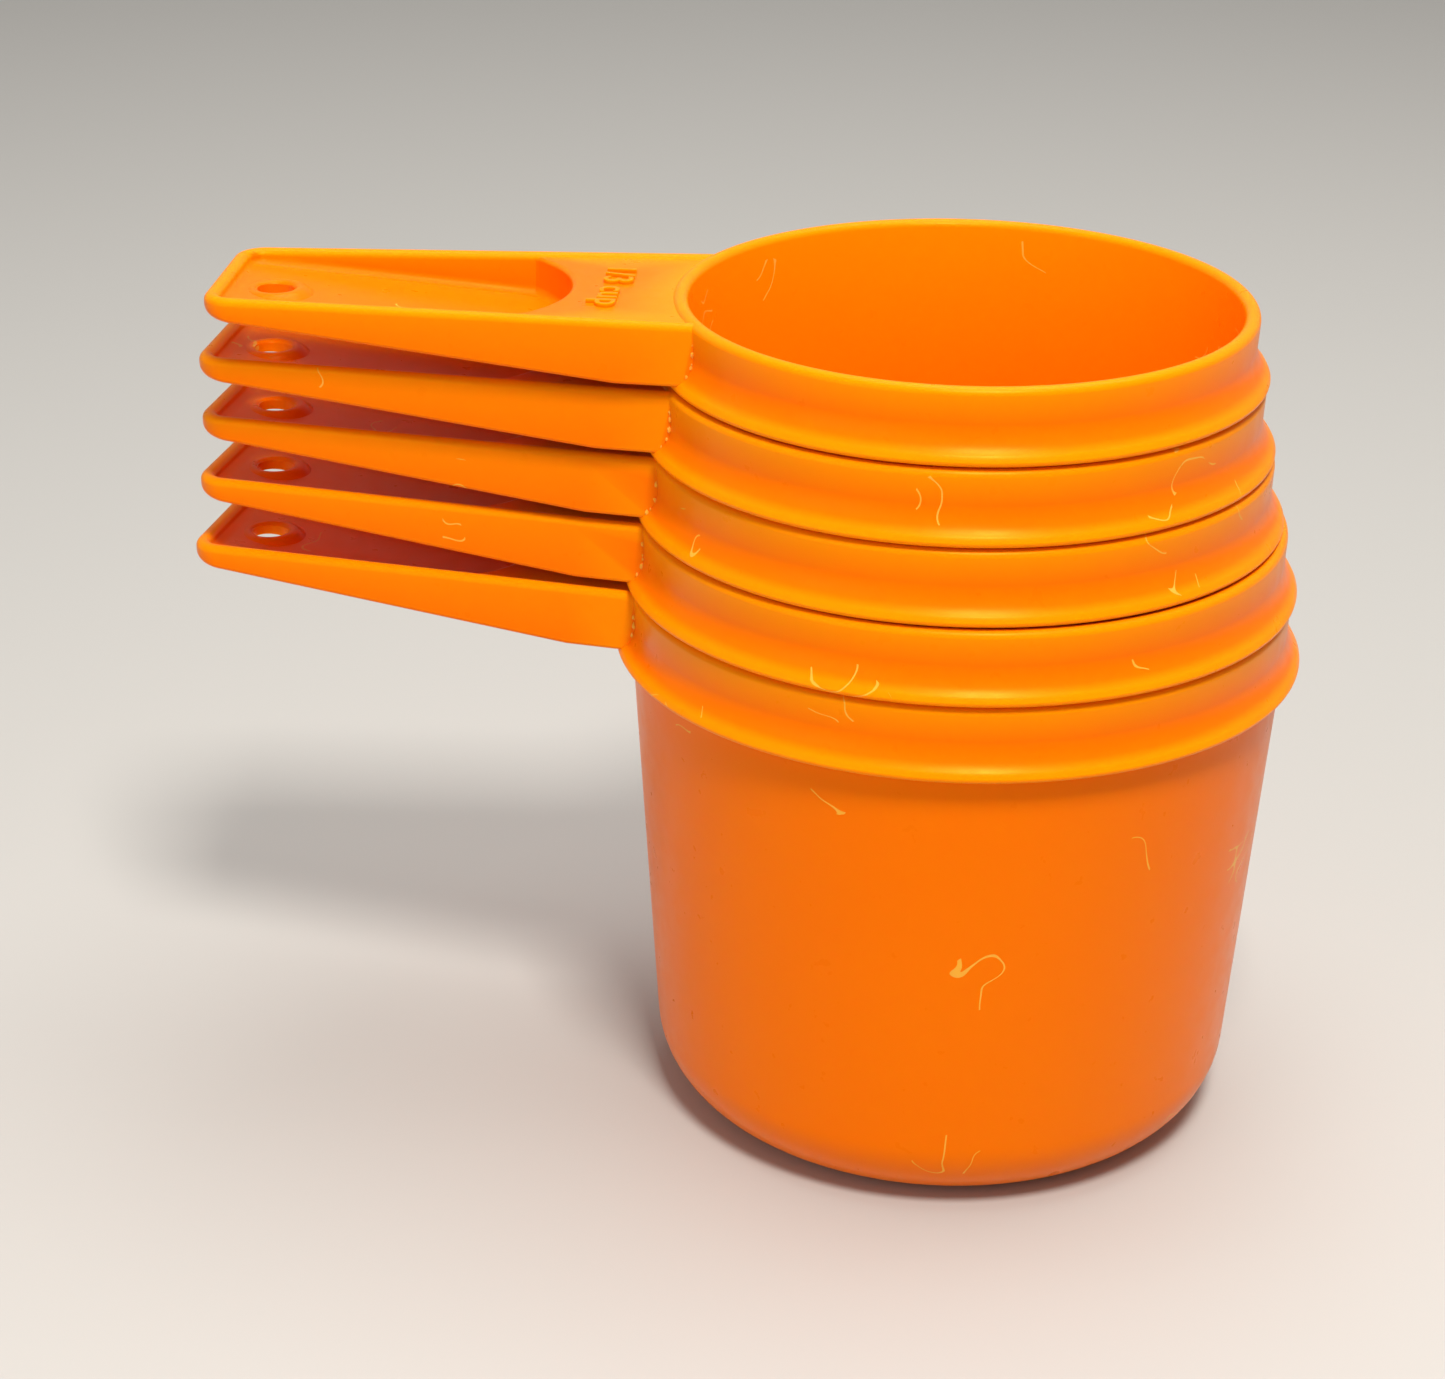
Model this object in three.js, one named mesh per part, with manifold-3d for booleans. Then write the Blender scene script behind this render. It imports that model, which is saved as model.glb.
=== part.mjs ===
// Nesting set of five dry measuring cups: one cup, three quarters, two thirds, a half and a third.
//
// Each cup is a single moulding: a round bowl with a leaning wall, a collar with a lip that rests
// over the rim of the next cup down, and a flat handle that tapers to its tip. Millimetres, +Z up.
// The origin is the centre of the largest cup's base, and the handles point along -X. The cups stand
// nested as they were put down, with their handles slightly fanned.

import * as THREE from 'three';
import { mergeVertices } from 'three/addons/utils/BufferGeometryUtils.js';
import Module from 'manifold-3d';

const wasm = await Module();
wasm.setup();

// ---------------------------------------------------------------- driving dimensions

// Bowl and collar
const CUP_VOLUME = 236588; // one cup filled to the brim, in cubic millimetres
const LIP_RADIUS = 40; // lip of the largest cup
const OUTER_WALL = 1.95; // wall of the largest cup
const OUTER_FLOOR = 2.4; // floor of the largest cup
const INNER_WALL = 1.2; // wall and floor of the cups that nest in it
const DRAFT = THREE.MathUtils.degToRad(3.83); // lean of every wall
const BASE_CORNER = 9.6; // outside radius between wall and base
const RIM_WIDTH = 1.75; // thickness of the rounded rim
const NECK_INSET = 0.15; // neck inside the rim's outer edge
const COLLAR_HEIGHT = 8.1; // top of rim to underside of lip
const LIP_OVERHANG = 1.56; // lip beyond the rim
const LIP_EDGE = 0.56; // radius of the rounded lip edge
const FLARE_HEIGHT = 3.1; // height of the hollow curve from neck to lip
const STACK_GAP = 0.3; // lip above the rim beneath it

// Handle
const HANDLE_LENGTH = 50.6; // beyond the lip
const HANDLE_TIP_WIDTH = 21.6;
const HANDLE_TAPER = 0.065; // half-width gained per millimetre towards the cup
const HANDLE_CORNER = 3.4; // plan radius of the tip's corners
const HANDLE_DEPTH = 7.2; // beside the bowl
const HANDLE_TIP_DEPTH = 2.4;
const HANDLE_TIP_CHAMFER = 1.2; // under the tip
const HANDLE_LEVEL_LENGTH = 3.8; // lip to where the underside starts to rise
const HANDLE_SIDE_WALL = 1.4;
const HANDLE_FLOOR = 1.1; // trough floor and label plate
const RIM_PROUD = 0.1; // rim above the handle's upper edge
const LABEL_SUNK = 0.4; // label plate below the handle's upper edge
const LABEL_LENGTH = 10; // lip to the trough's round end
const TROUGH_END_RADIUS = 14.4;
const HOLE_FROM_TIP = 6.5;
const HOLE_RADIUS = 2.2;
const HOLE_RING_WIDTH = 1.3;
const HOLE_RING_RISE = 0.5; // ring above the trough floor

// The cups from the outside in. Play is the radial room that a cup has in the one around it. Shift
// is how far it stands from the largest cup's axis along X, and turn is its handle's swing from -X.
const CUPS = [
  { name: 'cup_one', share: 1, play: 0, shift: 0, turn: -2.3 },
  { name: 'cup_three_quarters', share: 3 / 4, play: 0.34, shift: 0, turn: -2.5 },
  { name: 'cup_two_thirds', share: 2 / 3, play: 1.04, shift: -0.48, turn: -1.2 },
  { name: 'cup_half', share: 1 / 2, play: 0.64, shift: -0.82, turn: 1.4 },
  { name: 'cup_third', share: 1 / 3, play: 0.84, shift: -0.57, turn: 4.3 },
];

const ROUND_SEGMENTS = 48;
const HOLE_SEGMENTS = 16;
const CORNER_STEPS = 4;
const SPARE = 1; // cutting shapes run this far past what they cut

// ---------------------------------------------------------------- sizes that follow from those

const lean = Math.tan(DRAFT);
const tip = -HANDLE_LENGTH;
const troughEnd = -LABEL_LENGTH;

// ---------------------------------------------------------------- solids

function toSolid(geometry) {
  const bare = geometry.clone();
  bare.deleteAttribute('normal');
  bare.deleteAttribute('uv');
  const merged = mergeVertices(bare);
  const triangles = [];
  for (let i = 0; i < merged.index.count; i += 3) {
    const corners = [i, i + 1, i + 2].map((k) => merged.index.getX(k));
    if (new Set(corners).size === 3) {
      triangles.push(...corners);
    }
  }
  const vertProperties = new Float32Array(merged.attributes.position.array);
  const triVerts = new Uint32Array(triangles);
  return new wasm.Manifold(new wasm.Mesh({ numProp: 3, vertProperties, triVerts }));
}

function toGeometry(solid) {
  const mesh = solid.getMesh();
  const geometry = new THREE.BufferGeometry();
  geometry.setAttribute('position', new THREE.BufferAttribute(mesh.vertProperties, 3));
  geometry.setIndex(new THREE.BufferAttribute(mesh.triVerts, 1));
  geometry.computeVertexNormals();
  return geometry;
}

// A closed profile of radius and height, turned about the cup's axis.
function turned(profile) {
  return toSolid(new THREE.LatheGeometry(profile, ROUND_SEGMENTS).rotateX(Math.PI / 2));
}

// An upright round bar centred at x.
function bar(radius, x, low, high, segments = HOLE_SEGMENTS) {
  const geometry = new THREE.CylinderGeometry(radius, radius, high - low, segments);
  return toSolid(geometry.rotateX(Math.PI / 2).translate(x, 0, (low + high) / 2));
}

// A plan outline raised from one height to another.
function raised(shape, low, high) {
  const options = { depth: high - low, bevelEnabled: false, curveSegments: CORNER_STEPS };
  return toSolid(new THREE.ExtrudeGeometry(shape, options).translate(0, 0, low));
}

// A side outline of [x, z] corners, swept right across the handle.
function across(corners) {
  const width = 4 * LIP_RADIUS;
  const shape = new THREE.Shape(corners.map(([x, z]) => new THREE.Vector2(x, z)));
  const geometry = new THREE.ExtrudeGeometry(shape, { depth: width, bevelEnabled: false });
  return toSolid(geometry.rotateX(Math.PI / 2).translate(0, width / 2, 0));
}

function arc(x, y, radius, from, to, steps) {
  const points = [];
  for (let i = 0; i <= steps; i += 1) {
    const angle = from + ((to - from) * i) / steps;
    points.push(new THREE.Vector2(x + radius * Math.cos(angle), y + radius * Math.sin(angle)));
  }
  return points;
}

// ---------------------------------------------------------------- bowl

// The rounded corner from a flat bottom up to a leaning wall that is wallRadius wide at wallZ.
function bottomCorner(wallRadius, wallZ, bottomZ, corner) {
  const tangentZ = bottomZ + corner * (1 - Math.sin(DRAFT));
  const centre = wallRadius - lean * (wallZ - tangentZ) - corner * Math.cos(DRAFT);
  return arc(centre, bottomZ + corner, corner, -Math.PI / 2, -DRAFT, CORNER_STEPS);
}

// The inside of a bowl of the given depth, up from the middle of its floor to its rim.
function insideOf(cup, top, depth) {
  const floor = top - depth;
  return [
    new THREE.Vector2(0, floor),
    ...bottomCorner(cup.mouth, top, floor, BASE_CORNER - cup.wall),
    new THREE.Vector2(cup.mouth, top),
  ];
}

function turnedVolume(profile) {
  let volume = 0;
  for (let i = 1; i < profile.length; i += 1) {
    const { x: r0, y: z0 } = profile[i - 1];
    const { x: r1, y: z1 } = profile[i];
    volume += (Math.PI / 3) * (r0 * r0 + r0 * r1 + r1 * r1) * (z1 - z0);
  }
  return volume;
}

// The depth at which a bowl holds its share of a cup, found by halving the interval.
function depthFor(cup) {
  let shallow = BASE_CORNER;
  let deep = cup.mouth / lean;
  for (let i = 0; i < 50; i += 1) {
    const middle = (shallow + deep) / 2;
    if (turnedVolume(insideOf(cup, 0, middle)) < cup.share * CUP_VOLUME) {
      shallow = middle;
    } else {
      deep = middle;
    }
  }
  return deep;
}

function bowl(cup) {
  const lipZ = cup.top - COLLAR_HEIGHT;
  const rimRound = RIM_WIDTH / 2;
  const neck = cup.mouth + RIM_WIDTH - NECK_INSET;

  // The hollow curve starts upright at the neck and turns out to the upper side of the lip.
  const flareWidth = cup.lip - LIP_EDGE / 2 - neck;
  const flareAngle = 2 * Math.atan(flareWidth / FLARE_HEIGHT);
  const flareRadius = FLARE_HEIGHT / Math.sin(flareAngle);
  const flareTop = lipZ + 2 * LIP_EDGE + FLARE_HEIGHT;

  return turned([
    new THREE.Vector2(0, cup.base),
    ...bottomCorner(cup.body, lipZ, cup.base, BASE_CORNER),
    new THREE.Vector2(cup.body, lipZ),
    ...arc(cup.lip - LIP_EDGE, lipZ + LIP_EDGE, LIP_EDGE, -Math.PI / 2, 0, 2),
    ...arc(neck + flareRadius, flareTop, flareRadius, Math.PI + flareAngle, Math.PI, 3),
    ...arc(cup.crest, cup.top - rimRound, rimRound, 0, Math.PI, 6),
    ...insideOf(cup, cup.top, cup.depth).slice(0, -1).reverse(),
  ]);
}

// ---------------------------------------------------------------- handle

// A handle is drawn with its lip end at X 0 and its upper edge at height 0, then moved to its cup.

// Plan of the handle from its tip to endX, set in all round, with rounded corners at the tip.
function handlePlan(inset, endX, corner) {
  const tipX = tip + inset;
  const half = (x) => HANDLE_TIP_WIDTH / 2 + HANDLE_TAPER * (x - tip) - inset;
  const shape = new THREE.Shape();
  shape.moveTo(endX, -half(endX));
  shape.lineTo(endX, half(endX));
  shape.lineTo(tipX + corner, half(tipX + corner));
  shape.quadraticCurveTo(tipX, half(tipX), tipX, half(tipX) - corner);
  shape.lineTo(tipX, corner - half(tipX));
  shape.quadraticCurveTo(tipX, -half(tipX), tipX + corner, -half(tipX + corner));
  shape.closePath();
  return shape;
}

// Plan of everything on the tip's side of a round wall that bulges towards the cup. The walls
// share one centre, and the one of TROUGH_END_RADIUS is the trough's own end.
function tongue(radius) {
  const centre = troughEnd - TROUGH_END_RADIUS;
  const shape = new THREE.Shape();
  shape.moveTo(2 * tip, -radius);
  shape.lineTo(centre, -radius);
  shape.absarc(centre, 0, radius, -Math.PI / 2, Math.PI / 2, false);
  shape.lineTo(2 * tip, radius);
  shape.closePath();
  return shape;
}

function handle(cup) {
  const low = -HANDLE_DEPTH;
  const slope = (low + HANDLE_TIP_DEPTH) / (-HANDLE_LEVEL_LENGTH - tip);
  const underside = (x) => slope * (x - tip) - HANDLE_TIP_DEPTH;

  const blank = raised(handlePlan(0, cup.lip, HANDLE_CORNER), low - SPARE, 0);
  const side = across([
    [tip, SPARE],
    [tip, HANDLE_TIP_CHAMFER - HANDLE_TIP_DEPTH],
    [tip + HANDLE_TIP_CHAMFER, underside(tip + HANDLE_TIP_CHAMFER)],
    [-HANDLE_LEVEL_LENGTH, low],
    [cup.lip, low],
    [cup.lip, SPARE],
  ]);

  const insideCorner = HANDLE_CORNER - HANDLE_SIDE_WALL;
  const insidePlan = handlePlan(HANDLE_SIDE_WALL, cup.lip, insideCorner);

  // Trough: open above, with a floor that follows the underside and a round end.
  const overFloor = across([
    [tip, underside(tip) + HANDLE_FLOOR],
    [troughEnd + SPARE, underside(troughEnd + SPARE) + HANDLE_FLOOR],
    [troughEnd + SPARE, SPARE],
    [tip, SPARE],
  ]);
  const trough = raised(insidePlan, low, SPARE)
    .intersect(raised(tongue(TROUGH_END_RADIUS), low, SPARE))
    .intersect(overFloor);

  // Label plate: a shallow step from above and an open pocket from below, up to the collar.
  const pastTrough = raised(tongue(TROUGH_END_RADIUS + HANDLE_SIDE_WALL), low - SPARE, SPARE);
  const step = raised(insidePlan, -LABEL_SUNK, SPARE);
  const pocketTop = -LABEL_SUNK - HANDLE_FLOOR;
  const pocket = raised(insidePlan, low - SPARE, pocketTop).subtract(pastTrough);

  // Hanging hole with a raised ring.
  const holeX = tip + HOLE_FROM_TIP;
  const ringTop = underside(holeX) + HANDLE_FLOOR + HOLE_RING_RISE;
  const ring = bar(HOLE_RADIUS + HOLE_RING_WIDTH, holeX, ringTop - HANDLE_FLOOR, ringTop);
  const hole = bar(HOLE_RADIUS, holeX, low, 0);

  const inCollar = bar(cup.crest, cup.lip, low - SPARE, SPARE, ROUND_SEGMENTS);
  return blank
    .intersect(side)
    .subtract(trough)
    .subtract(step)
    .subtract(pocket)
    .add(ring)
    .subtract(hole)
    .subtract(inCollar)
    .translate(-cup.lip, 0, cup.top - RIM_PROUD);
}

// ---------------------------------------------------------------- the set

const group = new THREE.Group();
let around = null;
for (const cup of CUPS) {
  const collarLean = lean * COLLAR_HEIGHT;
  cup.wall = around ? INNER_WALL : OUTER_WALL;
  cup.floor = around ? INNER_WALL : OUTER_FLOOR;
  if (around) {
    cup.body = around.mouth - cup.play;
    cup.mouth = cup.body - cup.wall + collarLean;
    cup.lip = cup.mouth + RIM_WIDTH + LIP_OVERHANG;
    cup.top = around.top + COLLAR_HEIGHT + STACK_GAP;
    cup.depth = depthFor(cup);
  } else {
    cup.lip = LIP_RADIUS;
    cup.mouth = cup.lip - LIP_OVERHANG - RIM_WIDTH;
    cup.body = cup.mouth + cup.wall - collarLean;
    cup.depth = depthFor(cup);
    cup.top = cup.depth + cup.floor;
  }
  cup.crest = cup.mouth + RIM_WIDTH / 2;
  cup.base = cup.top - cup.depth - cup.floor;

  const solid = bowl(cup).add(handle(cup)).rotate(0, 0, cup.turn).translate(cup.shift, 0, 0);
  const plastic = new THREE.MeshStandardMaterial({ color: 0xff7600, roughness: 0.35, metalness: 0 });
  const mesh = new THREE.Mesh(toGeometry(solid), plastic);
  mesh.name = cup.name;
  group.add(mesh);
  around = cup;
}

export default group;
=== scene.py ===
import math
import random

import bmesh
import bpy
from mathutils import Matrix, Vector


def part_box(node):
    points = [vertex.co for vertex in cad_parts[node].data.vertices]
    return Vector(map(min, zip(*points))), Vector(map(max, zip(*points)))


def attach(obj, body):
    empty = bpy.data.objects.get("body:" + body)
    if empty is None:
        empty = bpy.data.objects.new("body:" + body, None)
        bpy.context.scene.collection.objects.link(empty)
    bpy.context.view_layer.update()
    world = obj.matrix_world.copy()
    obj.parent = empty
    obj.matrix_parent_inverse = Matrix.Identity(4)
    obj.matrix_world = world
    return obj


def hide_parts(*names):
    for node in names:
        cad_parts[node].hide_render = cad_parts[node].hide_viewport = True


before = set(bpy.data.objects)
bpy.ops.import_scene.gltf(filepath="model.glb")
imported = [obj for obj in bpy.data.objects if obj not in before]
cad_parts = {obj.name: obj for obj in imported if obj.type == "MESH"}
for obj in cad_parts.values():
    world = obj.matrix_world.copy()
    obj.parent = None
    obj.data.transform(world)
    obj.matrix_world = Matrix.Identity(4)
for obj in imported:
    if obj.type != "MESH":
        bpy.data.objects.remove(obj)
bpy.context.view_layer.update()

scene = bpy.context.scene


# ---- camera -----------------------------------------------------------------------------------
# In front of the cups and a little to their right, looking down at 24 degrees through a short
# telephoto lens.

camera_data = bpy.data.cameras.new("camera")
camera_data.sensor_width = 36
camera_data.lens = 77.3
camera_data.clip_start = 0.01
camera = bpy.data.objects.new("camera", camera_data)
camera.location = (0.0231, -0.3366, 0.2012)
camera.rotation_euler = (math.radians(65.90), math.radians(-0.64), math.radians(8.86))
scene.collection.objects.link(camera)
scene.camera = camera

scene.view_settings.view_transform = "Standard"


# ---- floor and light --------------------------------------------------------------------------
# A pale, slightly warm studio table under three soft lights.

floor_mesh = bpy.data.meshes.new("floor")
reach = 6
floor_mesh.from_pydata(
    [(-reach, -reach, 0), (reach, -reach, 0), (reach, reach, 0), (-reach, reach, 0)],
    [],
    [(0, 1, 2, 3)],
)
floor = bpy.data.objects.new("floor", floor_mesh)
scene.collection.objects.link(floor)

floor_finish = bpy.data.materials.new("pale_table")
floor_finish.use_nodes = True
shader = floor_finish.node_tree.nodes["Principled BSDF"]
shader.inputs["Base Color"].default_value = (0.50, 0.49, 0.47, 1)
shader.inputs["Roughness"].default_value = 0.65
floor_mesh.materials.append(floor_finish)

world = bpy.data.worlds.new("studio")
scene.world = world
world.use_nodes = True
world.node_tree.nodes["Background"].inputs["Color"].default_value = (1.0, 0.98, 0.95, 1)
world.node_tree.nodes["Background"].inputs["Strength"].default_value = 0.3


def soft_light(name, place, target, width, power, colour):
    data = bpy.data.lights.new(name, "AREA")
    data.shape = "SQUARE"
    data.size = width
    data.energy = power
    data.color = colour
    light = bpy.data.objects.new(name, data)
    light.location = place
    light.rotation_euler = (Vector(target) - Vector(place)).to_track_quat("-Z", "Y").to_euler()
    scene.collection.objects.link(light)


soft_light("key", (0.12, -0.38, 0.72), (0, 0, 0.06), 0.16, 5.8, (1.0, 0.96, 0.9))
soft_light("overhead", (0.05, 0.1, 0.8), (0, 0, 0.06), 0.6, 4.6, (1.0, 0.98, 0.95))
soft_light("fill", (-0.5, -0.6, 0.3), (0, 0, 0.05), 0.5, 1.0, (1.0, 0.98, 0.96))


# ---- the cups ---------------------------------------------------------------------------------
# Five measuring cups, each a single injection moulding in a soft, slightly translucent orange
# plastic: a bowl with a rolled rim, a flared collar that rests on the rim of the cup below, and a
# tray-shaped handle with a hanging hole and the capacity in raised figures beside the bowl.

MM = 0.001

# Bowl and collar, in millimetres
LIP_RADIUS = 39.96
OUTER_WALL = 1.95
OUTER_FLOOR = 2.4
INNER_WALL = 1.2
DRAFT = math.radians(3.83)
LEAN = math.tan(DRAFT)
BASE_CORNER = 9.6
RIM = 1.75
NECK_INSET = 0.15
COLLAR_HEIGHT = 8.1
LIP_OVERHANG = 1.56
LIP_EDGE = 0.56
FLARE_HEIGHT = 3.1
UNDER_LIP_FILLET = 0.35
AROUND = 240

# Handle, in millimetres. The lip is at X 0 and the tip points along -X.
HANDLE_LENGTH = 50.6
TIP_HALF_WIDTH = 10.8
TAPER = 0.065
TIP_CORNER = 3.6
TIP_DEPTH = 2.4
DEPTH = 7.2
LEVEL_FROM_LIP = 3.8
BEAD = 0.875
EDGE_BELOW_RIM = 0.1
PLATE_SUNK = 0.4
FLOOR = 1.1
POCKET_WALL = 1.5
SOLE_ROUNDING = 0.5
EXTRA_ROUNDING_AT_TIP = 0.85
TROUGH_FILLET = 1.1
TROUGH_END = 10.0
TROUGH_ROUND = 14.4
TROUGH_END_SOFTNESS = 0.55
HOLE_FROM_TIP = 6.5
HOLE_RADIUS = 2.15
BOSS_RISE = 0.42
FIGURE_HEIGHT = 3.5
FIGURE_RISE = 0.38
FIGURE_MIDDLE = 4.9


def arc(x, z, radius, start, end, steps):
    """Points of an arc round (x, z), from one angle to the other."""
    turns = [start + (end - start) * i / steps for i in range(steps + 1)]
    return [(x + radius * math.cos(a), z + radius * math.sin(a)) for a in turns]


def bottom_corner(wall_radius, wall_z, bottom_z, corner):
    """The rounded corner between a level bottom and a leaning wall of known radius at wall_z."""
    tangent_z = bottom_z + corner * (1 - math.sin(DRAFT))
    centre = wall_radius - LEAN * (wall_z - tangent_z) - corner * math.cos(DRAFT)
    return arc(centre, bottom_z + corner, corner, -math.pi / 2, -DRAFT, 14)


def bowl_profile(cup):
    """Radius and height from the middle of the base, up the outside, over the rim and down inside."""
    top, base = cup["top"], cup["base"]
    lip_z = top - COLLAR_HEIGHT
    neck = cup["mouth"] + RIM - NECK_INSET
    flare_width = cup["lip"] - LIP_EDGE / 2 - neck
    flare_angle = 2 * math.atan(flare_width / FLARE_HEIGHT)
    flare_radius = FLARE_HEIGHT / math.sin(flare_angle)
    flare_top = lip_z + 2 * LIP_EDGE + FLARE_HEIGHT
    crest = cup["mouth"] + RIM / 2
    gate = [(0, base + 0.25), (0.9, base + 0.25), (1.3, base + 0.45), (3.2, base + 0.45), (3.7, base)]
    outside = bottom_corner(cup["body"], lip_z, base, BASE_CORNER)
    under_lip = [
        (cup["body"] - LEAN * UNDER_LIP_FILLET, lip_z - UNDER_LIP_FILLET),
        (cup["body"] - LEAN * UNDER_LIP_FILLET * 0.3 + 0.10, lip_z - 0.10),
        (cup["body"] + UNDER_LIP_FILLET, lip_z),
    ]
    lip = arc(cup["lip"] - LIP_EDGE, lip_z + LIP_EDGE, LIP_EDGE, -math.pi / 2, 0.15, 7)
    flare = arc(neck + flare_radius, flare_top, flare_radius, math.pi + flare_angle, math.pi, 14)
    rim = arc(crest, top - RIM / 2, RIM / 2, 0, math.pi, 18)
    floor_z = base + cup["floor"]
    inside = bottom_corner(cup["mouth"], top, floor_z, BASE_CORNER - cup["wall"])[::-1]
    return gate + outside + under_lip + lip + flare + rim + inside + [(0, floor_z)]


def turned(profile):
    """The mesh of a profile turned about Z. The first and last points are on the axis."""
    bm = bmesh.new()
    rings = []
    for radius, height in profile:
        if radius == 0:
            rings.append([bm.verts.new((0, 0, height))] * AROUND)
            continue
        spin = [2 * math.pi * i / AROUND for i in range(AROUND)]
        rings.append(
            [bm.verts.new((radius * math.cos(a), radius * math.sin(a), height)) for a in spin]
        )
    for low, high in zip(rings, rings[1:]):
        for i in range(AROUND):
            j = (i + 1) % AROUND
            corners = [low[i], low[j], high[j], high[i]]
            bm.faces.new(list(dict.fromkeys(corners)))
    return bm


def half_width(x):
    """Half the handle's width, which grows from the tip towards the bowl."""
    return TIP_HALF_WIDTH + TAPER * (x + HANDLE_LENGTH)


def underside(x):
    """Height of the underside: level beside the bowl, then rising to the tip."""
    slope = (-DEPTH + TIP_DEPTH) / (HANDLE_LENGTH - LEVEL_FROM_LIP)
    return max(-DEPTH, slope * (x + HANDLE_LENGTH) - TIP_DEPTH)


def side_point(x, inset):
    """A point of the far side's line, set in from the edge."""
    return x, half_width(x) - inset * math.hypot(1, TAPER)


def on_circle(centre, radius, inset, outward):
    """Where the far side's line, set in, meets a circle round (centre, 0)."""
    a = 1 + TAPER * TAPER
    start = TIP_HALF_WIDTH + TAPER * HANDLE_LENGTH - inset * math.hypot(1, TAPER)
    b = 2 * (TAPER * start - centre)
    c = centre * centre + start * start - radius * radius
    return (-b + outward * math.sqrt(b * b - 4 * a * c)) / (2 * a)


def handle_edge(inset, end_x, split_x):
    """The far half of the handle's edge from the bowl to the middle of the tip, set in.

    Returns the points and how far along the edge the tip's rounding applies, from 0 to 1."""
    tip = -HANDLE_LENGTH
    lean = math.atan(TAPER)
    corner_y = TIP_HALF_WIDTH + TAPER * TIP_CORNER - TIP_CORNER * math.hypot(1, TAPER)
    corner = (tip + TIP_CORNER, corner_y)
    radius = TIP_CORNER - inset
    turns = [math.pi / 2 + lean + (math.pi / 2 - lean) * i / 10 for i in range(11)]
    rounded = [(corner[0] + radius * math.cos(a), corner[1] + radius * math.sin(a)) for a in turns]
    start_x = rounded[0][0]
    level_x = -LEVEL_FROM_LIP
    xs = [end_x, level_x]
    xs += [level_x + (split_x - level_x) * i / 6 for i in range(1, 7)]
    xs += [split_x + (start_x - split_x) * i / 12 for i in range(1, 12)]
    points = [side_point(x, inset) for x in xs] + rounded
    tipness = [0.0] * len(xs) + [i / 10 for i in range(11)]
    points.append((tip + inset, 0))
    tipness.append(1.0)
    return points, tipness


def whole_edge(far_half):
    """Both halves of the edge, from the bowl's near side round the tip to its far side."""
    near = [(x, -y, *rest) for x, y, *rest in far_half]
    return near[:-1] + far_half[::-1]


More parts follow.
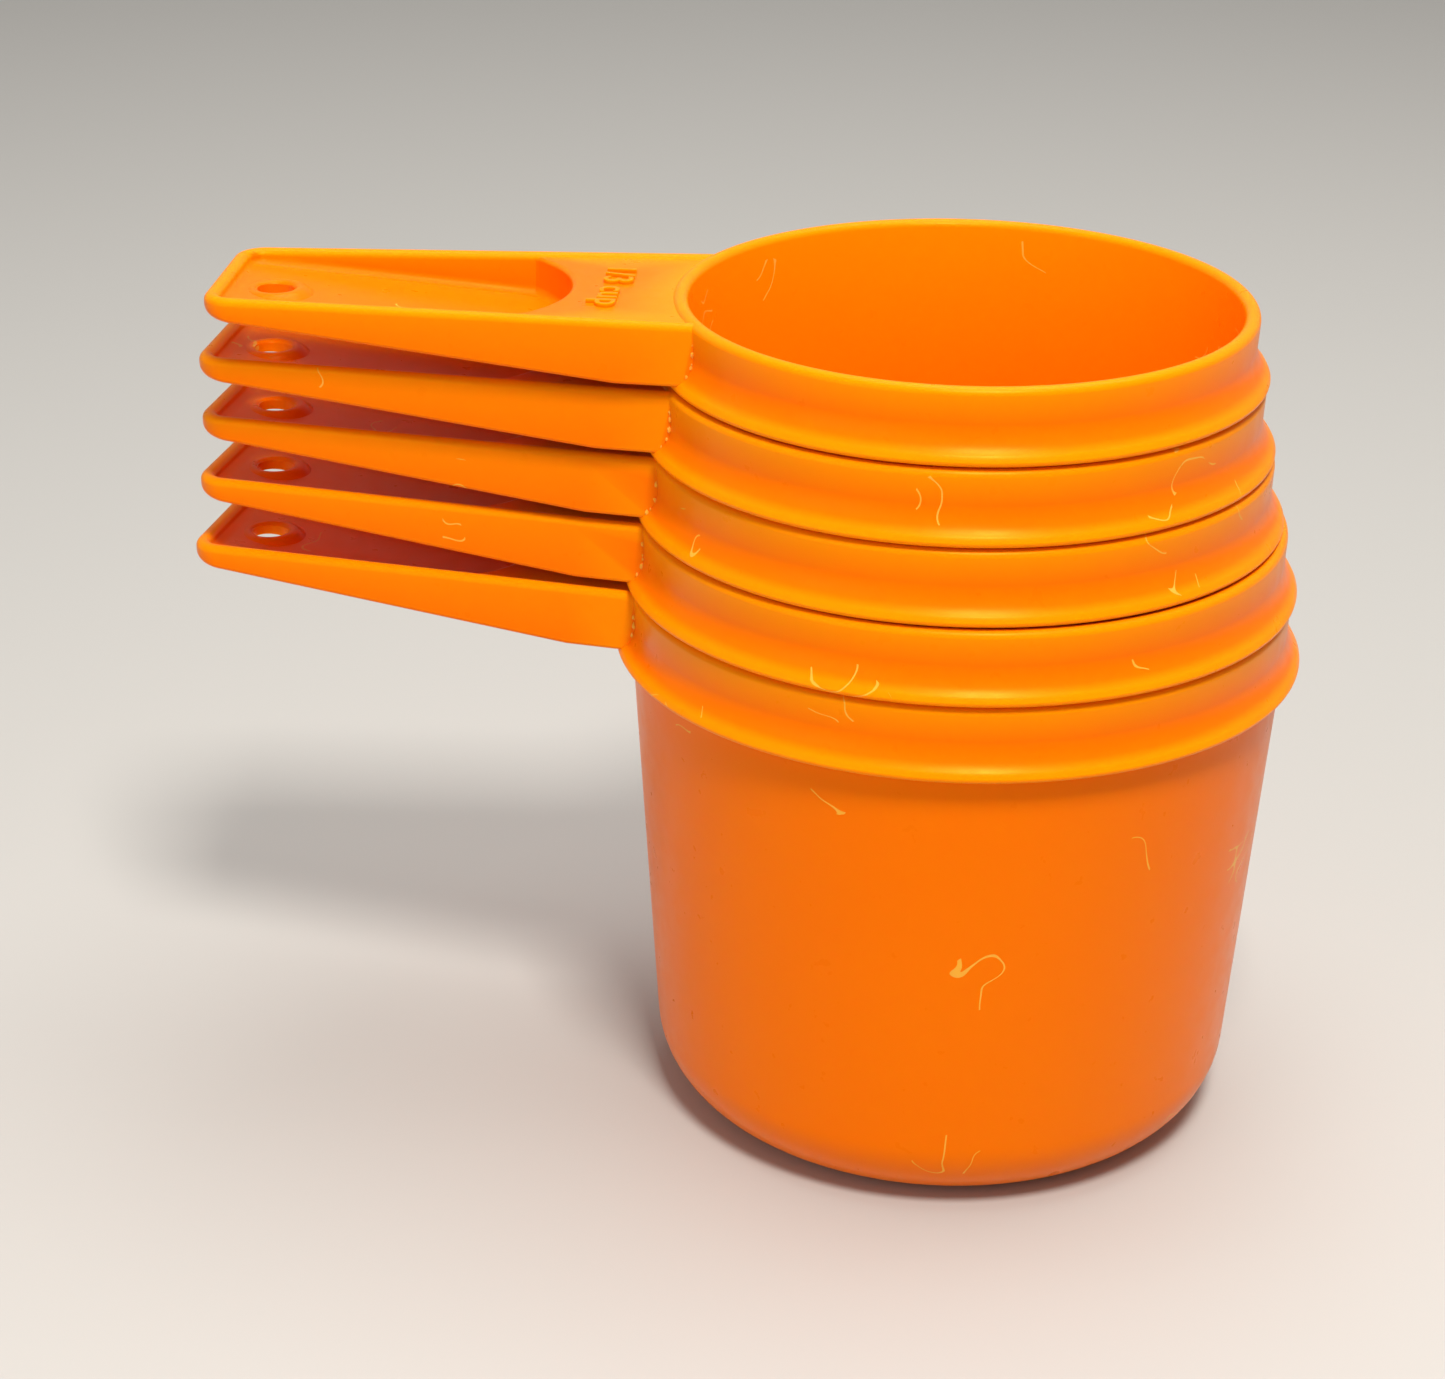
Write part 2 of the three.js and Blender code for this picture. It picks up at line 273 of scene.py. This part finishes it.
def handle_mesh(cup):
    """The handle, drawn with the lip at X 0 and its upper edge at height 0."""
    bm = bmesh.new()
    crest = cup["mouth"] + RIM / 2
    trough_centre = -TROUGH_END - TROUGH_ROUND
    plate_inset = BEAD + math.sqrt(BEAD**2 - (BEAD - PLATE_SUNK) ** 2)
    split_x = on_circle(trough_centre, TROUGH_ROUND, plate_inset, 1)

    def ring(inset_of, height_of):
        points, tipness = handle_edge(0, on_circle(cup["lip"], crest, 0, -1), split_x)
        made = []
        for i in range(len(points)):
            inset = inset_of(tipness[i])
            end_x = on_circle(cup["lip"], crest, inset, -1)
            x, y = handle_edge(inset, end_x, split_x)[0][i]
            made.append((x, y, height_of(x, tipness[i])))
        return [bm.verts.new(p) for p in whole_edge(made)]

    # Sole, rounded lower edge, side, and the bead down to the level of the plate.
    def sole_round(tipness):
        return SOLE_ROUNDING + EXTRA_ROUNDING_AT_TIP * tipness

    rings = [ring(sole_round, lambda x, t: underside(x))]
    for step in range(1, 7):
        a = math.pi / 2 * step / 6
        rings.append(
            ring(
                lambda t, a=a: sole_round(t) * (1 - math.sin(a)),
                lambda x, t, a=a: underside(x) + sole_round(t) * (1 - math.cos(a)),
            )
        )
    plate_turn = math.pi - math.asin((BEAD - PLATE_SUNK) / BEAD)
    for step in range(15):
        a = plate_turn * step / 14
        rings.append(
            ring(
                lambda t, a=a: BEAD * (1 - math.cos(a)),
                lambda x, t, a=a: BEAD * (math.sin(a) - 1),
            )
        )
    for low, high in zip(rings, rings[1:]):
        for i in range(len(low) - 1):
            bm.faces.new([low[i], low[i + 1], high[i + 1], high[i]])

    sole, plate = rings[0], rings[-1]
    count = len(sole)

    # Sole: a level part beside the bowl and a rising part.
    far_end = math.atan2(plate[-1].co.y, cup["lip"] - plate[-1].co.x)
    end_turn = [-far_end + 2 * far_end * i / 24 for i in range(1, 24)]
    plate_end = []
    sole_end = []
    for a in end_turn:
        x, y = cup["lip"] - crest * math.cos(a), crest * math.sin(a)
        plate_end.append(bm.verts.new((x, y, -PLATE_SUNK)))
        sole_end.append(bm.verts.new((x, y, -DEPTH)))
    bm.faces.new([sole[0], *sole_end, sole[-1], sole[-2], sole[1]])
    bm.faces.new(sole[1:-1][::-1])
    for i in range(len(plate_end) - 1):
        bm.faces.new([plate_end[i], plate_end[i + 1], sole_end[i + 1], sole_end[i]])
    bm.faces.new([r[0] for r in rings] + [plate_end[0], sole_end[0]])
    bm.faces.new([r[-1] for r in rings][::-1] + [sole_end[-1], plate_end[-1]])

    # Trough: rings that go down from the plate, each closed by an arc beside the plate.
    split = 7  # the point of the edge at which the plate gives way to the trough

    def trough_arc(inset, flare, height_of):
        radius = TROUGH_ROUND - (inset - plate_inset)
        end_x = on_circle(trough_centre, radius, inset, 1)
        reach_y = side_point(end_x, inset)[1]
        widest = math.atan2(reach_y, end_x - trough_centre)
        made = []
        for i in range(1, 40):
            a = widest * (1 - i / 20)
            swell = flare * min(1, 4 * (1 - abs(1 - i / 20)))
            x = trough_centre + (radius + swell) * math.cos(a)
            made.append(bm.verts.new((x, (radius + swell) * math.sin(a), height_of(x))))
        return made

    def trough_ring(inset, flare, height_of):
        split_here = on_circle(trough_centre, TROUGH_ROUND - (inset - plate_inset), inset, 1)
        far = handle_edge(inset, 0, split_here)[0][split:]
        edge = [bm.verts.new((x, y, height_of(x))) for x, y in whole_edge(far)]
        return edge + trough_arc(inset, flare, height_of)

    level = -PLATE_SUNK
    lip_ring = plate[split : count - split] + trough_arc(
        plate_inset, TROUGH_END_SOFTNESS, lambda x: level
    )
    troughs = [lip_ring]
    bead_steps = 4
    start_turn = math.asin((BEAD - PLATE_SUNK) / BEAD)
    for step in range(1, bead_steps + 1):
        a = start_turn * (1 - step / bead_steps)
        share = step / bead_steps
        inset = BEAD * (1 + math.cos(a))
        height = BEAD * (math.sin(a) - 1)
        flare = TROUGH_END_SOFTNESS * (1 - math.sqrt(1 - (1 - share) ** 2))
        troughs.append(trough_ring(inset, flare, lambda x, z=height: z))
    side = 2 * BEAD
    for step in range(7):
        a = math.pi / 2 * step / 6

        def height_of(x, a=a):
            ground = underside(x) + FLOOR
            room = max(0.0, -BEAD - 0.01 - ground)
            fillet = min(TROUGH_FILLET, room)
            return min(-BEAD - 0.004, ground + fillet * (1 - math.sin(a)))

        troughs.append(trough_ring(side + TROUGH_FILLET * (1 - math.cos(a)), 0, height_of))
    for high, deep in zip(troughs, troughs[1:]):
        for i in range(len(high)):
            j = (i + 1) % len(high)
            bm.faces.new([high[i], high[j], deep[j], deep[i]])
    bm.faces.new(troughs[-1])

    # Plate between the trough and the bowl.
    arc_part = lip_ring[count - 2 * split :]
    bm.faces.new(
        plate[: split + 1] + arc_part[::-1] + plate[count - split - 1 :] + plate_end[::-1]
    )
    bmesh.ops.recalc_face_normals(bm, faces=bm.faces)
    return bm


def prism(outline, low, high):
    """An outline made solid between two heights."""
    bm = bmesh.new()
    lower = [bm.verts.new((x, y, low)) for x, y in outline]
    upper = [bm.verts.new((x, y, high)) for x, y in outline]
    bm.faces.new(lower[::-1])
    bm.faces.new(upper)
    for i in range(len(outline)):
        j = (i + 1) % len(outline)
        bm.faces.new([lower[i], lower[j], upper[j], upper[i]])
    bmesh.ops.recalc_face_normals(bm, faces=bm.faces)
    return bm


def pocket_mesh(cup):
    """The hollow under the plate, open below and towards the bowl."""
    centre = -TROUGH_END - TROUGH_ROUND
    radius = TROUGH_ROUND + POCKET_WALL
    start_x = on_circle(centre, radius, POCKET_WALL, 1)
    widest = math.atan2(side_point(start_x, POCKET_WALL)[1], start_x - centre)
    outline = [
        (centre + radius * math.cos(widest * (1 - i / 16)), radius * math.sin(widest * (1 - i / 16)))
        for i in range(33)
    ]
    end_x = cup["lip"] - cup["mouth"] + 9
    far = side_point(end_x, POCKET_WALL)
    outline += [(far[0], -far[1]), far]
    return prism(outline, -DEPTH - 2, -PLATE_SUNK - FLOOR)


def boss_mesh():
    """The soft raised ring round the hanging hole, level while the trough's floor falls away."""
    ground = underside(HOLE_FROM_TIP - HANDLE_LENGTH) + FLOOR
    crest = ground + BOSS_RISE
    inner, outer = HOLE_RADIUS, 4.6
    profile = [(0, ground - 0.8), (outer, ground - 0.8), (4.1, ground - 0.30)]
    profile += [(3.7, ground + 0.05), (3.35, ground + 0.28), (3.05, crest - 0.03), (2.8, crest)]
    profile += [(2.55, crest - 0.03), (2.35, crest - 0.12), (inner, crest - 0.4), (0, crest - 0.4)]
    bm = turned(profile)
    bmesh.ops.translate(bm, vec=(HOLE_FROM_TIP - HANDLE_LENGTH, 0, 0), verts=bm.verts)
    bmesh.ops.recalc_face_normals(bm, faces=bm.faces)
    return bm


def hole_mesh():
    """The hanging hole, as a peg to cut away."""
    spin = [2 * math.pi * i / 64 for i in range(64)]
    middle = HOLE_FROM_TIP - HANDLE_LENGTH
    outline = [(middle + HOLE_RADIUS * math.cos(a), HOLE_RADIUS * math.sin(a)) for a in spin]
    return prism(outline, -8, 4)


def figures_mesh(words):
    """Raised figures, reading across the handle with their tops towards the bowl."""
    curve = bpy.data.curves.new("figures", "FONT")
    curve.body = words
    curve.align_x = "CENTER"
    curve.size = FIGURE_HEIGHT / 0.73
    curve.space_character = 1.06
    curve.extrude = FIGURE_RISE / 2 + 0.1
    curve.bevel_depth = 0.05
    curve.bevel_resolution = 1
    curve.resolution_u = 6
    holder = bpy.data.objects.new("figures", curve)
    scene.collection.objects.link(holder)
    made = bpy.data.meshes.new_from_object(
        holder.evaluated_get(bpy.context.evaluated_depsgraph_get())
    )
    bpy.data.objects.remove(holder)
    bm = bmesh.new()
    bm.from_mesh(made)
    bpy.data.meshes.remove(made)
    bmesh.ops.remove_doubles(bm, verts=bm.verts, dist=0.0005)
    middle = FIGURE_RISE / 2 - 0.1 - PLATE_SUNK
    place = Matrix.Translation((-FIGURE_MIDDLE - FIGURE_HEIGHT / 2, 0, middle))
    bm.transform(place @ Matrix.Rotation(-math.pi / 2, 4, "Z"))
    bmesh.ops.recalc_face_normals(bm, faces=bm.faces)
    return bm


def collar_radius(cup, below_top):
    """Outside radius of the collar, from the neck out along the flare to the lip."""
    neck = cup["mouth"] + RIM - NECK_INSET
    into_flare = below_top - (COLLAR_HEIGHT - 2 * LIP_EDGE - FLARE_HEIGHT)
    if into_flare <= 0:
        return neck
    width = cup["lip"] - LIP_EDGE / 2 - neck
    radius = FLARE_HEIGHT / math.sin(2 * math.atan(width / FLARE_HEIGHT))
    along = min(into_flare, FLARE_HEIGHT)
    return neck + radius - math.sqrt(radius * radius - along * along)


def flash_mesh(cup, seed):
    """Crumbs of moulding flash where the sides of the handle meet the collar."""
    chance = random.Random(seed)
    bm = bmesh.new()
    for side in (-1, 1):
        depth = 2.0 + chance.random()
        while depth < DEPTH - 0.7:
            size = chance.uniform(0.08, 0.26)
            around = collar_radius(cup, depth + EDGE_BELOW_RIM)
            x = on_circle(cup["lip"], around, 0, -1)
            y = side * (half_width(x) + chance.uniform(-0.05, 0.1))
            lump = bmesh.ops.create_icosphere(bm, subdivisions=1, radius=size)["verts"]
            for vertex in lump:
                vertex.co *= chance.uniform(0.6, 1.3)
                vertex.co.z *= 1.7
            bmesh.ops.translate(bm, vec=(x - 0.1, y, -depth), verts=lump)
            depth += size * 4.4 + chance.uniform(0.1, 0.9) ** 3
    return bm


def to_object(bm, name):
    mesh = bpy.data.meshes.new(name)
    bm.to_mesh(mesh)
    bm.free()
    made = bpy.data.objects.new(name, mesh)
    scene.collection.objects.link(made)
    return made


def combine(target, tool, operation):
    """Joins the tool to the target or cuts it away, and removes the tool."""
    change = target.modifiers.new(operation, "BOOLEAN")
    change.operation = operation
    change.solver = "EXACT"
    change.object = tool
    result = bpy.data.meshes.new_from_object(
        target.evaluated_get(bpy.context.evaluated_depsgraph_get())
    )
    target.modifiers.clear()
    target.data = result
    bpy.data.objects.remove(tool)


# The plastic: a slightly uneven orange that lets some light through, with a satin grain.
plastic = bpy.data.materials.new("orange_plastic")
plastic.use_nodes = True
nodes, links = plastic.node_tree.nodes, plastic.node_tree.links
shader = nodes["Principled BSDF"]
shader.inputs["IOR"].default_value = 1.5
shader.inputs["Specular IOR Level"].default_value = 0.2
shader.inputs["Specular Tint"].default_value = (1.0, 0.62, 0.10, 1)
shader.inputs["Subsurface Weight"].default_value = 0.35
shader.inputs["Subsurface Radius"].default_value = (1.0, 0.42, 0.04)
shader.inputs["Subsurface Scale"].default_value = 0.0026

where = nodes.new("ShaderNodeTexCoord")
cloud = nodes.new("ShaderNodeTexNoise")
cloud.inputs["Scale"].default_value = 28
cloud.inputs["Detail"].default_value = 3
links.new(where.outputs["Object"], cloud.inputs["Vector"])
tone = nodes.new("ShaderNodeMix")
tone.data_type = "RGBA"
tone.inputs["A"].default_value = (0.95, 0.162, 0.0, 1)
tone.inputs["B"].default_value = (0.95, 0.186, 0.0, 1)
links.new(cloud.outputs["Fac"], tone.inputs["Factor"])

# Painted glow and highlight: the rim, lip, bead and figure tops are coloured yellower, in place of
# light shining through the thin plastic and catching on their edges.
painted_glow = nodes.new("ShaderNodeAttribute")
painted_glow.attribute_name = "painted_glow"
painted_glow_mix = nodes.new("ShaderNodeMix")
painted_glow_mix.data_type = "RGBA"
painted_glow_mix.inputs["B"].default_value = (0.98, 0.26, 0.0, 1)
links.new(painted_glow.outputs["Fac"], painted_glow_mix.inputs["Factor"])
links.new(tone.outputs["Result"], painted_glow_mix.inputs["A"])

# Short curly scuffs: thin contour lines of one noise, kept only where another noise peaks.
curl = nodes.new("ShaderNodeTexNoise")
curl.inputs["Scale"].default_value = 260
curl.inputs["Detail"].default_value = 0
links.new(where.outputs["Object"], curl.inputs["Vector"])
off_line = nodes.new("ShaderNodeMath")
off_line.operation = "COMPARE"
off_line.inputs[1].default_value = 0.5
off_line.inputs[2].default_value = 0.012
links.new(curl.outputs["Fac"], off_line.inputs[0])
patch = nodes.new("ShaderNodeTexNoise")
patch.inputs["Scale"].default_value = 95
patch.inputs["Detail"].default_value = 0
links.new(where.outputs["Object"], patch.inputs["Vector"])
few = nodes.new("ShaderNodeMath")
few.operation = "GREATER_THAN"
few.inputs[1].default_value = 0.73
links.new(patch.outputs["Fac"], few.inputs[0])
scratch = nodes.new("ShaderNodeMath")
scratch.operation = "MULTIPLY"
links.new(off_line.outputs["Value"], scratch.inputs[0])
links.new(few.outputs["Value"], scratch.inputs[1])

# Scuffs and the crumbs of flash are paler than the rest.
crumbly = nodes.new("ShaderNodeAttribute")
crumbly.attribute_name = "crumb"
either = nodes.new("ShaderNodeMath")
either.operation = "MAXIMUM"
links.new(crumbly.outputs["Fac"], either.inputs[0])
links.new(scratch.outputs["Value"], either.inputs[1])
pale = nodes.new("ShaderNodeMix")
pale.data_type = "RGBA"
pale.inputs["B"].default_value = (0.92, 0.42, 0.05, 1)
links.new(either.outputs["Value"], pale.inputs["Factor"])
links.new(painted_glow_mix.outputs["Result"], pale.inputs["A"])
links.new(pale.outputs["Result"], shader.inputs["Base Color"])

# A fine grain changes the gloss and the surface.
scuff = nodes.new("ShaderNodeTexNoise")
scuff.inputs["Scale"].default_value = 420
scuff.inputs["Detail"].default_value = 4
links.new(where.outputs["Object"], scuff.inputs["Vector"])
gloss = nodes.new("ShaderNodeMapRange")
gloss.inputs["From Min"].default_value = 0.3
gloss.inputs["From Max"].default_value = 0.7
gloss.inputs["To Min"].default_value = 0.27
gloss.inputs["To Max"].default_value = 0.36
links.new(scuff.outputs["Fac"], gloss.inputs["Value"])
links.new(gloss.outputs["Result"], shader.inputs["Roughness"])

grain = nodes.new("ShaderNodeBump")
grain.inputs["Strength"].default_value = 0.10
grain.inputs["Distance"].default_value = 0.00012
links.new(scuff.outputs["Fac"], grain.inputs["Height"])
links.new(grain.outputs["Normal"], shader.inputs["Normal"])


def painted_glow_share(cup, x, y, z):
    """How much painted glow and highlight a point gets: 1 on the rim, lip and bead, 0.8 on the
    figures, else 0.
    """
    radius = math.hypot(x, y)
    from_rim = math.hypot(radius - cup["mouth"] - RIM / 2, z - cup["top"] + RIM / 2)
    from_lip = math.hypot(radius - cup["lip"] + 0.6, z - cup["top"] + COLLAR_HEIGHT - 0.6)
    rim_share = 1 - min(1, max(0, (from_rim - 0.9) / 0.9))
    lip_share = 1 - min(1, max(0, (from_lip - 0.6) / 0.9))
    bead_share = 0.0
    if x < -cup["lip"] + 1:
        along = x + cup["lip"]
        inset = min(half_width(along) - abs(y), along + HANDLE_LENGTH)
        below = cup["top"] - EDGE_BELOW_RIM - z
        if inset < 1.9:
            bead_share = 1 - min(1, max(0, (below - 0.5) / 0.9))
        elif along > -TROUGH_END and below < PLATE_SUNK - 0.15:
            bead_share = 0.8
    return max(rim_share, lip_share, bead_share)


# From the outside in: node, body, figures, room in the cup around it and place along X in
# millimetres, and the handle's swing from -X in degrees.
CUPS = [
    ("cup_one", "one_cup", "1 cup", 0, 0, -2.3),
    ("cup_three_quarters", "three_quarter_cup", "3/4 cup", 0.34, 0, -2.5),
    ("cup_two_thirds", "two_thirds_cup", "2/3 cup", 1.04, -0.48, -1.2),
    ("cup_half", "half_cup", "1/2 cup", 0.64, -0.82, 1.4),
    ("cup_third", "third_cup", "1/3 cup", 0.84, -0.57, 4.3),
]

mouth_around = None
for seed, (node, body, words, play, shift, turn) in enumerate(CUPS):
    low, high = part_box(node)
    cup = {"base": low.z / MM, "top": high.z / MM}
    if mouth_around is None:
        cup["wall"], cup["floor"] = OUTER_WALL, OUTER_FLOOR
        cup["mouth"] = LIP_RADIUS - LIP_OVERHANG - RIM
        cup["body"] = cup["mouth"] + cup["wall"] - LEAN * COLLAR_HEIGHT
    else:
        cup["wall"], cup["floor"] = INNER_WALL, INNER_WALL
        cup["body"] = mouth_around - play
        cup["mouth"] = cup["body"] - cup["wall"] + LEAN * COLLAR_HEIGHT
    cup["lip"] = cup["mouth"] + RIM + LIP_OVERHANG
    mouth_around = cup["mouth"]

    handle = to_object(handle_mesh(cup), "handle")
    combine(handle, to_object(pocket_mesh(cup), "pocket"), "DIFFERENCE")
    combine(handle, to_object(boss_mesh(), "boss"), "UNION")
    combine(handle, to_object(hole_mesh(), "hole"), "DIFFERENCE")
    combine(handle, to_object(figures_mesh(words), "figures"), "UNION")
    handle.data.transform(Matrix.Translation((-cup["lip"], 0, cup["top"] - EDGE_BELOW_RIM)))

    bowl = turned(bowl_profile(cup))
    bmesh.ops.recalc_face_normals(bowl, faces=bowl.faces)
    piece = to_object(bowl, node + "_moulding")
    flash = to_object(flash_mesh(cup, seed), "flash")
    flash.data.transform(Matrix.Translation((-cup["lip"], 0, cup["top"] - EDGE_BELOW_RIM)))

    # Slots of their own tell bowl, handle and flash apart once they are joined.
    for part_of_cup, slot_of_cup in ((piece, 0), (handle, 1), (flash, 2)):
        for _ in range(3):
            part_of_cup.data.materials.append(plastic)
        for face in part_of_cup.data.polygons:
            face.material_index = slot_of_cup
    combine(piece, handle, "UNION")
    combine(piece, flash, "UNION")

    mesh = piece.data
    # Painted glow and highlight strength for each point, which the plastic's colour reads.
    painted_glow_values = mesh.attributes.new("painted_glow", "FLOAT", "POINT")
    for i, vertex in enumerate(mesh.vertices):
        painted_glow_values.data[i].value = painted_glow_share(cup, *vertex.co)
    crumb = mesh.attributes.new("crumb", "FLOAT", "FACE")
    for i, face in enumerate(mesh.polygons):
        crumb.data[i].value = float(face.material_index == 2)
    mesh.transform(
        Matrix.Scale(MM, 4)
        @ Matrix.Translation((shift, 0, 0))
        @ Matrix.Rotation(math.radians(turn), 4, "Z")
    )
    mesh.shade_smooth()
    mesh.set_sharp_from_angle(angle=math.radians(32))

    # A sharp line where the handle meets the bowl, and round each crumb.
    touching = {}
    for face in mesh.polygons:
        for key in face.edge_keys:
            touching.setdefault(key, set()).add(face.material_index)
    for edge in mesh.edges:
        if len(touching[edge.key]) > 1:
            edge.use_edge_sharp = True
    for face in mesh.polygons:
        face.material_index = 0
    mesh.materials.clear()
    mesh.materials.append(plastic)
    weigh = piece.modifiers.new("weigh", "WEIGHTED_NORMAL")
    weigh.keep_sharp = True
    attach(piece, body)
    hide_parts(node)
